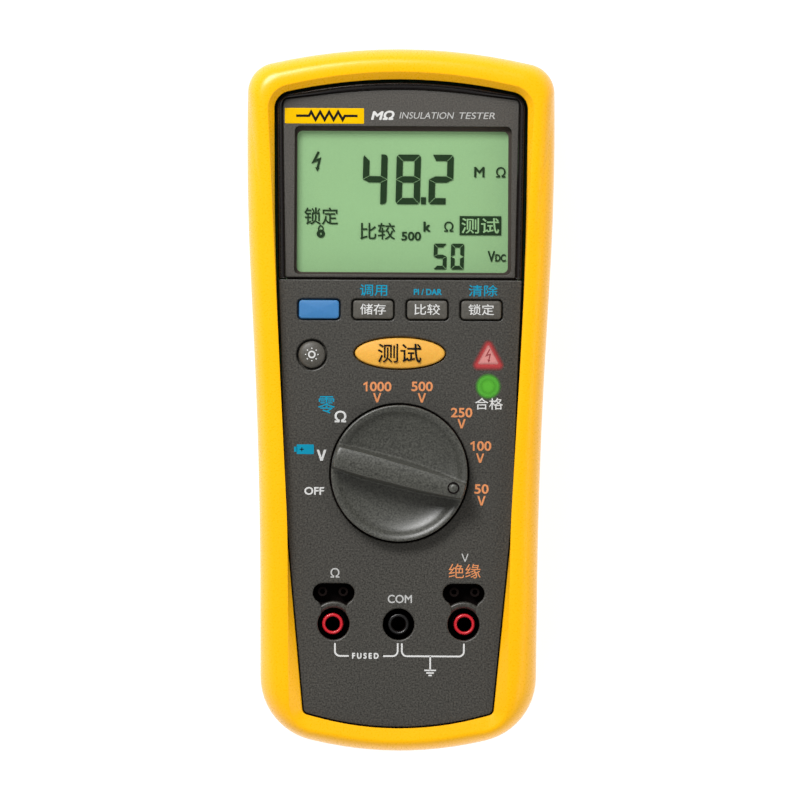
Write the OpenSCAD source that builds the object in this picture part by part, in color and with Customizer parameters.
// Handheld insulation resistance tester: rubber holster, two case shells, display, keys, rotary
// switch, three shrouded 4 mm sockets, battery compartment and tilt stand.
// Millimetres. It lies on its back: X to the right, Y towards the display, Z out of the front panel.
// The origin is at the middle of the footprint, on the plane that it rests on.

/* [Body] */
// Height of the holster, bottom end to top end
body_h = 203; // [200:0.5:206]
// Width across the display end
top_w = 88.5; // [88:0.5:91]
// Width across the socket end
low_w = 80; // [80:0.5:82]
// Height of the front panel above the resting plane
face_z = 40; // [40:0.5:42]
// Height of the holster's lip above the front panel
lip_h = 3.3; // [2.5:0.1:4]
// Wall of both case shells
wall = 2; // [1.8:0.1:2.2]

/* [Controls] */
// Diameter of the rotary knob
knob_d = 40; // [36:0.5:41]
// Height of the knob above the panel
knob_h = 10; // [8:0.5:12]
// Width of a small key
key_w = 11.6; // [10:0.1:12]
// Height of a small key, along the panel
key_h = 5.2; // [4.6:0.1:5.6]
// Spacing of the small keys
key_pitch = 15.6; // [15:0.1:16]
// Gap around a key's cap
key_gap = 0.4; // [0.3:0.05:0.5]

/* [Sockets] */
// Spacing of the input sockets
socket_pitch = 19; // [18.5:0.1:19.1]
// Bore of a socket's contact sleeve
socket_bore_d = 4; // [3.9:0.05:4.1]
// Bore of a socket's shroud
shroud_d = 9.2; // [9:0.1:9.6]

/* [Batteries] */
// Diameter of a cell
cell_d = 14.3; // [14:0.1:14.5]
// Length of a cell over its positive nub
cell_l = 50.5; // [49.5:0.1:50.5]

/* [Stand] */
// Width of the tilt stand
stand_w = 46; // [44:1:47]
// Length of the tilt stand, from its hinge
stand_l = 80; // [70:1:80]

/* [Hidden] */
$fn = 64;

// Heights of the layers, from the resting plane up
flange_z = 3.0;                  // top of the holster's back flange
case_back_z = 3.2;               // back of the rear case, inside the flange
plateau_z = 1.0;                 // back of the rear case, inside the holster's window
floor_z = 6.8;                   // inside of the rear case's floor
seam_z = 24.0;                   // top of the rear case's wall
gasket_t = 0.6;                  // room for the gasket at the seam
skin = 2.4;                      // thickness of the front panel
under_z = face_z - skin;         // underside of the front panel
lip_z = face_z + lip_h;          // crest of the holster's lip
board_z = 28.0;                  // underside of the circuit board
board_t = 1.6;
board_top = board_z + board_t;
lens_top = face_z - 2.4;
lens_t = 1.4;
lens_floor_z = lens_top - lens_t - 0.1;  // top of the ledge that carries the lens
ledge_t = 1.9;

// Outlines
half_h = body_h / 2;
half_top = top_w / 2;
half_low = low_w / 2;
holster_wall = 4.0;
case_gap = 0.2;

// Places on the panel
knob_y = -21;
key_y = 26.3;
test_pos = [0, 13.6];
backlight_pos = [-25.4, 13.1];
hazard_pos = [25.6, 13.3];
pass_pos = [25.6, 4.1];
socket_y = -64.6;
lobe_y = -55.6;
probe_contact_dx = 3.0;
lcd_pos = [0.5, 57.4];
key_x = [for (i = [-1.5:1:1.5]) i * key_pitch];
socket_x = [-socket_pitch, 0, socket_pitch];

// Battery compartment and door
cell_pitch = cell_d + 0.5;
cell_x = [for (i = [-1.5:1:1.5]) i * cell_pitch];
bay_x = 29.8;
bay_y = [14.5, 71.5];
cell_z = 10.9;
bay_top = 18.5;
bay_wall = 1.5;
plate_t = 0.4;
door_x = 31;
door_y = [3.2, 75.8];
lock_y = 8.2;

// Tilt stand
hinge_y = -3;
hinge_z = 3.0;
barrel_r = 2.0;
pin_r = 1.2;
stand_end = hinge_y - stand_l;

// Screws: [x, y] of the case screws and of the board screws
case_screw_pos = [[27, 84.2], [-27, 84.2], [28, -70], [-28, -70]];
board_screw_pos = [[32, -5], [-32, -5], [26.5, -46], [-26.5, -46]];

// ---------------------------------------------------------------- outlines

function turned(v, a) = [v.x * cos(a) - v.y * sin(a), v.x * sin(a) + v.y * cos(a)];

// The arc that rounds one corner, as points [x, y, nx, ny] with the outward normal.
function corner(a, p, b, r, steps) =
    let (d_in = (p - a) / norm(p - a),
         d_out = (b - p) / norm(b - p),
         side = sign(cross(d_in, d_out)),
         bend = side * acos(min(1, d_in * d_out)),
         centre = p + (d_out - d_in) / norm(d_out - d_in) * r / cos(bend / 2),
         n_in = [d_in.y, -d_in.x])
    [for (k = [0:steps])
        let (n = turned(n_in, bend * k / steps), q = centre + side * r * n)
        [q.x, q.y, n.x, n.y]];

// A closed outline from its corners [x, y, radius], anticlockwise.
function outline(corners, steps = 6) =
    let (n = len(corners), at = function(i) [corners[i % n].x, corners[i % n].y])
    [for (i = [0:n - 1]) each corner(at(i + n - 1), at(i), at(i + 1), corners[i].z, steps)];

// The outline moved inwards by d, or outwards where d is negative.
function inset(loop, d) = [for (q = loop) [q[0] - d * q[2], q[1] - d * q[3], q[2], q[3]]];
function plane(loop) = [for (q = loop) [q[0], q[1]]];

// Corners of the left half, mirrored from those of the right half without the two on the axis.
function both_sides(right, top, bottom) =
    [each right, top, for (i = [len(right) - 1:-1:0]) [-right[i].x, right[i].y, right[i].z], bottom];

body_loop = outline(both_sides(
    [[half_low, 7 - half_h, 20], [half_low, -20, 1500], [half_top, 62, 900], [half_top, half_h - 6.5, 8]],
    [0, half_h + 5, 145], [0, -half_h - 3.15, 97]), 7);
case_loop = inset(body_loop, holster_wall + case_gap);
panel_loop = outline(both_sides(
    [[27, 10.7 - half_h, 2.5], [33, -30, 300], [36.2, 45, 300], [36.6, half_h - 12.6, 4.5]],
    [0, half_h - 5.5, 165], [0, 3.3 - half_h, 90]), 7);
window_loop = outline(both_sides(
    [[half_low - 8.2, 17 - half_h, 9], [half_low - 8.2, -20, 900], [half_top - 9.7, 62, 500],
     [half_top - 9.7, half_h - 13.5, 10]],
    [0, half_h - 5.5, 80], [0, 9 - half_h, 60]), 7);
bezel_loop = outline(
    [[35.5, 35.1, 0.6], [36.45, half_h - 12.7, 4.4], [0, half_h - 5.6, 165],
     [-36.45, half_h - 12.7, 4.4], [-35.5, 35.1, 0.6]]);
lens_loop = outline(
    [[33.3, 36.3, 0.6], [34, half_h - 14.9, 2], [0, half_h - 9, 165], [-34, half_h - 14.9, 2],
     [-33.3, 36.3, 0.6]]);

function rect(c, w, h, r) = outline(
    [[c.x + w / 2, c.y - h / 2, r], [c.x + w / 2, c.y + h / 2, r], [c.x - w / 2, c.y + h / 2, r],
     [c.x - w / 2, c.y - h / 2, r]]);
function ellipse(c, a, b) = [for (t = [0:7.5:352.5]) [c.x + a * cos(t), c.y + b * sin(t), cos(t), sin(t)]];
function triangle(c, w, h, r) = outline(
    [[c.x + w / 2, c.y - h / 2, r], [c.x, c.y + h / 2, r], [c.x - w / 2, c.y - h / 2, r]]);

// ---------------------------------------------------------------- building blocks

module slab(loop, z0, z1) translate([0, 0, z0]) linear_extrude(z1 - z0) polygon(plane(loop));

module block(x, y, z) translate([x[0], y[0], z[0]]) cube([x[1] - x[0], y[1] - y[0], z[1] - z[0]]);

module rod(p, r, z0, z1) translate([p.x, p.y, z0]) cylinder(r = r, h = z1 - z0);

module tube(p, r_out, r_in, z0, z1) difference() {
    rod(p, r_out, z0, z1);
    rod(p, r_in, z0 - 1, z1 + 1);
}

// A rod along the stand's hinge line.
module hinge_rod(r, length)
    translate([-length / 2, hinge_y, hinge_z]) rotate([0, 90, 0]) cylinder(r = r, h = length);

// A closed ring of outlines, each [loop, z], skinned into one solid.
module skinned_ring(rings) {
    n = len(rings[0][0]);
    m = len(rings);
    points = [for (ring = rings) for (q = ring[0]) [q[0], q[1], ring[1]]];
    faces = [for (j = [0:m - 1]) for (i = [0:n - 1])
        let (a = j * n + i, b = j * n + (i + 1) % n, c = ((j + 1) % m) * n + i,
             d = ((j + 1) % m) * n + (i + 1) % n)
        each [[a, c, b], [b, c, d]]];
    polyhedron(points, faces);
}

// A round wire swept along a list of centres, closed by flat ends.
module wire(path, r, sides = 6) {
    n = len(path);
    rings = [for (i = [0:n - 1])
        let (ahead = path[min(i + 1, n - 1)] - path[max(i - 1, 0)],
             t = ahead / norm(ahead),
             side = cross(t, [0, 1, 0]) / norm(cross(t, [0, 1, 0])),
             up = cross(side, t))
        for (k = [0:sides - 1]) path[i] + r * (cos(360 * k / sides) * side + sin(360 * k / sides) * up)];
    faces = [for (i = [0:n - 2]) for (k = [0:sides - 1])
        let (a = i * sides + k, b = i * sides + (k + 1) % sides)
        each [[a, b, a + sides], [b, b + sides, a + sides]]];
    polyhedron(rings, concat(faces,
        [[for (k = [sides - 1:-1:0]) k], [for (k = [0:sides - 1]) (n - 1) * sides + k]]));
}

// ---------------------------------------------------------------- shells

module holster() color("gold") skinned_ring([
    [inset(window_loop, -0.6), 0],
    [inset(body_loop, 5), 0],
    [inset(body_loop, 2.9), 0.8],
    [inset(body_loop, 1.2), 2.8],
    [inset(body_loop, 0.3), 6.0],
    [body_loop, 10],
    [body_loop, face_z - 6.5],
    [inset(body_loop, 0.5), face_z - 3],
    [inset(body_loop, 1.6), face_z],
    [inset(body_loop, 3.2), lip_z - 1],
    [inset(panel_loop, -3.6), lip_z - 0.1],
    [inset(panel_loop, -2.6), lip_z],
    [inset(panel_loop, -0.5), face_z + 1.4],
    [inset(panel_loop, -0.3), face_z + 0.2],
    [inset(body_loop, holster_wall), face_z + 0.2],
    [inset(body_loop, holster_wall), flange_z],
    [window_loop, flange_z],
    [window_loop, 0.6]
]);

module lobe_recess(loop_gap, z0, z1) {
    for (x = [-socket_pitch, socket_pitch])
        slab(rect([x, lobe_y], 12 + 2 * loop_gap, 5.6 + 2 * loop_gap, 2.75 + loop_gap), z0, z1);
}

module front_case() color("dimgray") difference() {
    union() {
        difference() {
            slab(case_loop, seam_z + gasket_t, face_z);
            slab(inset(case_loop, wall), seam_z, under_z);
        }
        slab(inset(bezel_loop, -1.5), lens_floor_z - ledge_t, under_z + 1);
        for (x = socket_x) rod([x, socket_y], shroud_d / 2 + 1.1, 17.6, under_z + 1);
        lobe_recess(1.2, 33.2, under_z + 1);
        rod([0, knob_y], 6.5, 34.3, under_z + 1);
        for (x = [-9.4, 9.4]) rod([x, knob_y - 15.4], 1.2, 31, under_z + 1);
        for (p = case_screw_pos) rod(p, 3.1, seam_z + gasket_t, p.y > 0 ? lens_floor_z - 1 : under_z + 1);
        for (p = board_screw_pos) rod(p, 2.2, board_top + 0.1, under_z + 1);
    }
    // display
    slab(bezel_loop, lens_floor_z, face_z + 1);
    slab(rect(lcd_pos, 63.4, 43.2, 1.6), lens_floor_z - 5, face_z);
    // keys and light pipes
    for (x = key_x)
        slab(rect([x, key_y], key_w + 2 * key_gap, key_h + 2 * key_gap, 1.2), under_z - 1, face_z + 1);
    rod(backlight_pos, 4.35, under_z - 1, face_z + 1);
    slab(ellipse(test_pos, 13.4, 4.9), under_z - 1, face_z + 1);
    slab(triangle(hazard_pos, 9.1, 7.9, 1.1), under_z - 1, face_z + 1);
    rod(pass_pos, 3.1, under_z - 1, face_z + 1);
    // knob shaft
    rod([0, knob_y], 4.08, 30, face_z + 1);
    // sockets
    for (x = socket_x) {
        rod([x, socket_y], shroud_d / 2, 19.2, face_z + 1);
        rod([x, socket_y], 3.12, 16, 20);
    }
    lobe_recess(0, 34.4, face_z + 1);
    for (x = [-socket_pitch, socket_pitch]) {
        block([x - 3.4, x + 3.4], [-62, -56], [38.2, face_z + 1]);
        for (dx = [-probe_contact_dx, probe_contact_dx]) rod([x + dx, lobe_y + 0.3], 1.4, 32, 35);
    }
    // screw holes
    for (p = case_screw_pos) rod(p, 1.5, seam_z, 32.5);
    for (p = board_screw_pos) rod(p, 1.0, board_top, 35);
}

module rear_case() color("dimgray") difference() {
    union() {
        difference() {
            slab(case_loop, case_back_z, seam_z);
            slab(inset(case_loop, wall), floor_z, seam_z + 1);
        }
        slab(inset(window_loop, 0.3), plateau_z, case_back_z + 1);
        block([-bay_x - bay_wall, bay_x + bay_wall], [bay_y[0] - bay_wall, bay_y[1] + bay_wall],
              [floor_z - 1, bay_top + bay_wall]);
        for (p = case_screw_pos) rod(p, 3.1, floor_z - 1, seam_z + 0.4);
    }
    block([-bay_x, bay_x], bay_y, [0, bay_top]);
    slab(rect([0, (door_y[0] + door_y[1]) / 2], 2 * door_x + 0.4, door_y[1] - door_y[0] + 0.4, 3), 0, 3.3);
    rod([0, lock_y], 3.9, 0, floor_z + 1);
    for (p = case_screw_pos) {
        rod(p, 2.7, 0, 6.3);
        rod(p, 1.7, 6, seam_z + 2);
    }
    // stand recess, its deeper hinge trough and the pin bores
    slab(rect([0, (hinge_y + stand_end) / 2], stand_w + 0.8, stand_l + 1, 5), 0, 4.2);
    block([-stand_w / 2 - 0.4, stand_w / 2 + 0.4],
          [hinge_y - barrel_r - 1.4, hinge_y + barrel_r + 0.4], [0, 5.4]);
    hinge_rod(pin_r + 0.08, stand_w + 4.6);
}

module case_gasket() color("black") difference() {
    slab(inset(case_loop, 0.5), seam_z + 0.05, seam_z + gasket_t - 0.05);
    slab(inset(case_loop, 1.5), seam_z - 1, seam_z + 2);
}

module display_bezel() color([0.1, 0.09, 0.09]) difference() {
    slab(inset(bezel_loop, 0.1), lens_floor_z + 0.05, face_z - 0.2);
    slab(inset(lens_loop, -0.1), lens_floor_z - 1, face_z + 1);
}

module display_lens() color([0.36, 0.35, 0.34]) slab(lens_loop, lens_floor_z + 0.05, lens_top);

// ---------------------------------------------------------------- display

module lcd_glass() color([0.58, 0.74, 0.54]) slab(rect(lcd_pos, 67, 46.5, 0.5), 31.9, 34.1);

module lcd_backlight() color("white") slab(rect(lcd_pos, 66, 38, 0.5), 30.2, 31.8);

module zebra_strips() color([0.85, 0.6, 0.7]) for (side = [-1, 1])
    slab(rect([lcd_pos.x, lcd_pos.y + side * 21.6], 62, 1.8, 0.3), board_top + 0.1, 31.8);

// ---------------------------------------------------------------- keys

// One key: cap through the panel, flange under it, stem and carbon pill above the board.
module key(cap, flange, stem, p, top) {
    slab(cap, under_z - 1, top);
    slab(flange, under_z - 1.3, under_z - 0.1);
    slab(stem, 31.2, under_z - 1);
    rod(p, 1.5, 30.75, 31.5);
}

module small_key(i) {
    p = [key_x[i], key_y];
    key(rect(p, key_w, key_h, 0.9), rect(p, key_w + 2, key_h + 2, 1.6),
        rect(p, key_w - 2, key_h - 1.2, 0.8), p, face_z + 1);
}

module key_function() color([0.31, 0.52, 0.73]) small_key(0);
module key_store() color([0.3, 0.29, 0.27]) small_key(1);
module key_compare() color([0.3, 0.29, 0.27]) small_key(2);
module key_lock() color([0.3, 0.29, 0.27]) small_key(3);

module key_backlight() color([0.22, 0.21, 0.2]) {
    rod(backlight_pos, 3.95, under_z - 1, face_z + 1);
    rod(backlight_pos, 5, under_z - 1.3, under_z - 0.1);
    rod(backlight_pos, 3, 31.2, under_z - 1);
    rod(backlight_pos, 1.5, 30.75, 31.5);
}

module key_test() color([0.97, 0.73, 0.39])
    key(ellipse(test_pos, 13, 4.5), ellipse(test_pos, 14.2, 5.6), ellipse(test_pos, 11, 3.4), test_pos,
        face_z + 1.4);

// Silicone sheet on the board, with a rim around each key's stem.
module keypad_mat() color([0.5, 0.5, 0.52]) {
    stems = [for (x = key_x) rect([x, key_y], key_w - 2, key_h - 1.2, 0.8),
             ellipse(test_pos, 11, 3.4), ellipse(backlight_pos, 3, 3)];
    difference() {
        union() {
            slab(rect([0, 15.3], 63, 32.4, 2), board_top + 0.1, board_top + 0.7);
            for (s = stems) slab(inset(s, -1.3), board_top + 0.5, 33);
        }
        for (s = stems) slab(inset(s, -0.5), board_top - 1, 34);
        slab(triangle(hazard_pos, 12, 10.6, 1.5), board_top - 1, 34);
        rod(pass_pos, 4.4, board_top - 1, 34);
    }
}

// ---------------------------------------------------------------- indicators

module hazard_light_pipe() color([0.9, 0.3, 0.3]) {
    slab(triangle(hazard_pos, 8.7, 7.5, 1.0), board_top + 1, face_z + 0.3);
    slab(triangle(hazard_pos, 10.8, 9.4, 1.4), under_z - 1.5, under_z - 0.1);
}

module pass_light_pipe() color([0.4, 0.8, 0.2]) {
    rod(pass_pos, 3, board_top + 1, face_z + 0.3);
    rod(pass_pos, 3.8, under_z - 1.5, under_z - 0.1);
}

module indicator_leds() color("white") for (p = [hazard_pos, pass_pos])
    slab(rect(p, 3, 1.6, 0.2), board_top + 0.02, board_top + 0.8);

// ---------------------------------------------------------------- rotary switch

// The knob points to the last voltage range, 15 degrees below the right-hand side.
module rotary_knob() color([0.35, 0.35, 0.33]) translate([0, knob_y, 0]) rotate(-15) {
    difference() {
        rod([0, 0], knob_d / 2, face_z + 0.4, face_z + 4);
        rod([0, 0], knob_d / 2 - 2.6, face_z + 2.6, face_z + 5);
    }
    intersection() {
        rod([0, 0], knob_d / 2 - 0.05, face_z + 1, face_z + knob_h);
        slab(outline([[knob_d / 2 + 2, -2.8, 0.5], [knob_d / 2 + 2, 2.4, 0.5], [0, 4.2, 60],
                      [-knob_d / 2 - 2, 4.4, 0.5], [-knob_d / 2 - 2, -4, 0.5]]), face_z + 1, face_z + knob_h);
    }
    difference() {
        rod([0, 0], 4, 30.1, face_z + 1);
        tube([0, 0], 5, 3.15, 38, 39.3);
        tube([0, 0], 5, 3.3, 30.5, 31.1);
    }
}

module knob_seal() color("black") translate([0, knob_y, 38.65])
    rotate_extrude() translate([3.62, 0]) circle(r = 0.41, $fn = 32);

module switch_rotor() color("ivory") translate([0, knob_y, 0]) difference() {
    union() {
        rod([0, 0], 14, 31.2, 33.4);
        rod([0, 0], 6.4, 33.2, 33.9);
    }
    rod([0, 0], 4.03, 30, 35);
    for (a = [0:30:330]) rotate(a) translate([14.6, 0, 30]) cylinder(r = 1.2, h = 5);
}

module wiper_contacts() color("goldenrod") translate([0, knob_y, 0]) for (a = [0:120:240]) rotate(a + 20) {
    block([7.5, 12.5], [-0.8, 0.8], [29.8, 30.05]);
    block([7.5, 8], [-0.8, 0.8], [29.8, 31.15]);
}

module rotor_clip() color("silver") translate([0, knob_y, 0]) difference() {
    tube([0, 0], 5.2, 3.35, 30.55, 31.05);
    block([0, 8], [-2.4, 2.4], [30, 32]);
}

// Leaf spring whose nose drops into the rotor's notches.
module detent_spring() color("silver") {
    y0 = knob_y - 15.2;
    translate([0, 0, 31.7]) linear_extrude(1.4) polygon([
        [-8, y0 - 0.4], [8, y0 - 0.4], [8, y0], [2, y0], [0.5, y0 + 1], [-0.5, y0 + 1], [-2, y0],
        [-8, y0]]);
}

// ---------------------------------------------------------------- input sockets

module jack_ring(i) translate([socket_x[i], socket_y, 0]) difference() {
    union() {
        rod([0, 0], 3.05, 16, face_z - 1.6);
        rod([0, 0], 4.6, 16, 17.5);
    }
    rod([0, 0], 2.65, 15, 37.2);
    rod([0, 0], socket_bore_d / 2, 37, face_z);
}

module jack_sleeve(i) translate([socket_x[i], socket_y, 0]) difference() {
    union() {
        rod([0, 0], 2.6, 13, 37.1);
        block([-0.6, 0.6], [-1.6, 1.6], [10.5, 13.2]);
    }
    rod([0, 0], socket_bore_d / 2, 15, 38);
}

module jack_ring_ohm() color([0.8, 0.15, 0.2]) jack_ring(0);
module jack_ring_com() color([0.08, 0.08, 0.08]) jack_ring(1);
module jack_ring_volt() color([0.8, 0.15, 0.2]) jack_ring(2);
module jack_sleeve_ohm() color("silver") jack_sleeve(0);
module jack_sleeve_com() color("silver") jack_sleeve(1);
module jack_sleeve_volt() color("silver") jack_sleeve(2);

module probe_contacts() color("silver")
    for (x = [-socket_pitch, socket_pitch]) for (dx = [-probe_contact_dx, probe_contact_dx])
        tube([x + dx, lobe_y + 0.3], 1.35, 0.75, 31, 37.4);

// ---------------------------------------------------------------- electronics

module main_board() color([0.1, 0.4, 0.2]) difference() {
    slab(inset(case_loop, wall + 0.8), board_z, board_top);
    for (x = socket_x) rod([x, socket_y], shroud_d / 2 + 1.4, board_z - 1, board_top + 1);
    rod([0, knob_y], 5.6, board_z - 1, board_top + 1);
    for (p = case_screw_pos) rod(p, 3.4, board_z - 1, board_top + 1);
    for (p = board_screw_pos) rod(p, 1.1, board_z - 1, board_top + 1);
}

module boost_transformer() color([0.75, 0.6, 0.2]) {
    block([-27, -11], [-27, -13], [board_z - 2, board_z - 0.1]);
    block([-25, -13], [-25.5, -14.5], [19.5, board_z - 1]);
    block([-27, -11], [-27, -13], [18, 20]);
}

module hv_capacitors() color([0.2, 0.3, 0.5]) for (x = [13, 24])
    translate([x, -12, 23]) rotate([90, 0, 0]) cylinder(r = 4.5, h = 24);

module relays() color([0.9, 0.9, 0.85]) for (y = [-42, -1])
    block([-26, -11], [y, y + 8], [19.5, board_z - 0.1]);

module buzzer() color([0.1, 0.1, 0.1]) tube([0, -82], 7, 1, 20, board_z - 0.1);

module fuse() color("ivory") translate([-16, -50, 23.5]) rotate([0, 90, 0]) cylinder(r = 3.15, h = 32);

module fuse_clips() color("silver") for (x = [-12, 12]) difference() {
    block([x - 2.5, x + 2.5], [-53.9, -46.1], [20.2, board_z - 0.1]);
    translate([x - 4, -50, 23.5]) rotate([0, 90, 0]) cylinder(r = 3.25, h = 8);
    block([x - 4, x + 4], [-51.6, -48.4], [19, 23]);
    block([x - 4, x + 4], [-53.1, -46.9], [24.5, board_z - 0.6]);
}

module processor_chips() color([0.1, 0.1, 0.1]) {
    block([-8, 6], [36, 50], [26.4, board_z - 0.1]);
    block([12, 20], [38, 48], [26.4, board_z - 0.1]);
}

module shield_can() color("silver") difference() {
    slab(rect([0, 44], 54, 46, 1.5), 22, board_z - 0.1);
    slab(rect([0, 44], 53.2, 45.2, 1.1), 22.4, board_z + 1);
}

// ---------------------------------------------------------------- power

// A cell lies along Y. Its nub meets the plate at the far end for up, at the near end otherwise.
module cell(x, up) color([0.2, 0.2, 0.22]) translate([x, 0, cell_z]) {
    near = bay_y[0] + plate_t + 0.1;
    far = bay_y[1] - plate_t - 0.1;
    start = up ? far - 0.05 : near + 0.05;
    rotate([up ? 90 : -90, 0, 0]) translate([0, 0, up ? -start : start]) {
        translate([0, 0, 1.3]) cylinder(r = cell_d / 2, h = cell_l - 1.3);
        cylinder(r = 2.7, h = 2);
    }
}

module battery_1() cell(cell_x[0], true);
module battery_2() cell(cell_x[1], false);
module battery_3() cell(cell_x[2], true);
module battery_4() cell(cell_x[3], false);

// Conical coil springs at the flat ends of the cells.
module battery_springs() color("silver") {
    room = bay_y[1] - bay_y[0] - 2 * plate_t - 0.25 - cell_l;
    turns = 3;
    for (i = [0:3]) {
        near = i % 2 == 0;
        start = near ? bay_y[0] + plate_t + 0.5 : bay_y[1] - plate_t - 0.5;
        way = near ? 1 : -1;
        wire([for (k = [0:turns * 14])
            let (f = k / (turns * 14), r = 4.8 - 1.8 * f, a = 360 * turns * f)
            [cell_x[i] + r * cos(a), start + way * f * (room - 0.8), cell_z + r * sin(a)]], 0.35);
    }
}

// Contact plates, which join the cells in series.
module battery_plates() color("silver") {
    h = [5, 17];
    near = [bay_y[0] + 0.1, bay_y[0] + 0.1 + plate_t];
    far = [bay_y[1] - 0.1 - plate_t, bay_y[1] - 0.1];
    for (x = [-cell_pitch, cell_pitch]) block([x - 12, x + 12], near, h);
    block([-12, 12], far, h);
    for (x = [cell_x[0], cell_x[3]]) block([x - 5.5, x + 5.5], far, h);
}

module battery_door() color([0.25, 0.25, 0.25]) difference() {
    slab(rect([0, (door_y[0] + door_y[1]) / 2], 2 * door_x, door_y[1] - door_y[0], 2.8), 1.1, 3.2);
    rod([0, lock_y], 3.6, 0, 2.6);
    rod([0, lock_y], 2.1, 0, 4);
}

// Quarter-turn lock, with a screwdriver slot and a tongue.
module door_lock() color("silver") difference() {
    union() {
        rod([0, lock_y], 3.4, 1.2, 2.5);
        rod([0, lock_y], 2, 1.2, 6);
        block([-3.6, 3.6], [lock_y - 1.2, lock_y + 1.2], [4.4, 6]);
    }
    block([-2.9, 2.9], [lock_y - 0.5, lock_y + 0.5], [1, 1.9]);
}

module tilt_stand() color([0.25, 0.25, 0.25]) difference() {
    union() {
        slab(rect([0, (hinge_y + stand_end) / 2], stand_w, stand_l, 4.6), 1.0, 3.8);
        block([-stand_w / 2, stand_w / 2], [hinge_y - 8, hinge_y], [1.0, 3.8]);
        hinge_rod(barrel_r, stand_w);
        hinge_rod(pin_r, stand_w + 4);
    }
    rod([0, stand_end], 7, 0, 5);
}

// ---------------------------------------------------------------- fasteners

module case_screws() color("silver") for (p = case_screw_pos) difference() {
    union() {
        rod(p, 2.5, 4, 6.2);
        rod(p, 1.45, 6, 32);
    }
    rod(p, 1.2, 3, 5.4);
}

module board_screws() color("silver") for (p = board_screw_pos) {
    rod(p, 1.9, board_z - 1.5, board_z - 0.1);
    rod(p, 0.95, board_z - 0.5, 34);
}

// ---------------------------------------------------------------- nodes

holster();
front_case();
rear_case();
case_gasket();
display_bezel();
display_lens();
lcd_glass();
lcd_backlight();
zebra_strips();
keypad_mat();
key_function();
key_store();
key_compare();
key_lock();
key_backlight();
key_test();
hazard_light_pipe();
pass_light_pipe();
indicator_leds();
rotary_knob();
knob_seal();
switch_rotor();
wiper_contacts();
rotor_clip();
detent_spring();
jack_ring_ohm();
jack_ring_com();
jack_ring_volt();
jack_sleeve_ohm();
jack_sleeve_com();
jack_sleeve_volt();
probe_contacts();
main_board();
boost_transformer();
hv_capacitors();
relays();
buzzer();
fuse();
fuse_clips();
processor_chips();
shield_can();
battery_1();
battery_2();
battery_3();
battery_4();
battery_springs();
battery_plates();
battery_door();
door_lock();
tilt_stand();
case_screws();
board_screws();
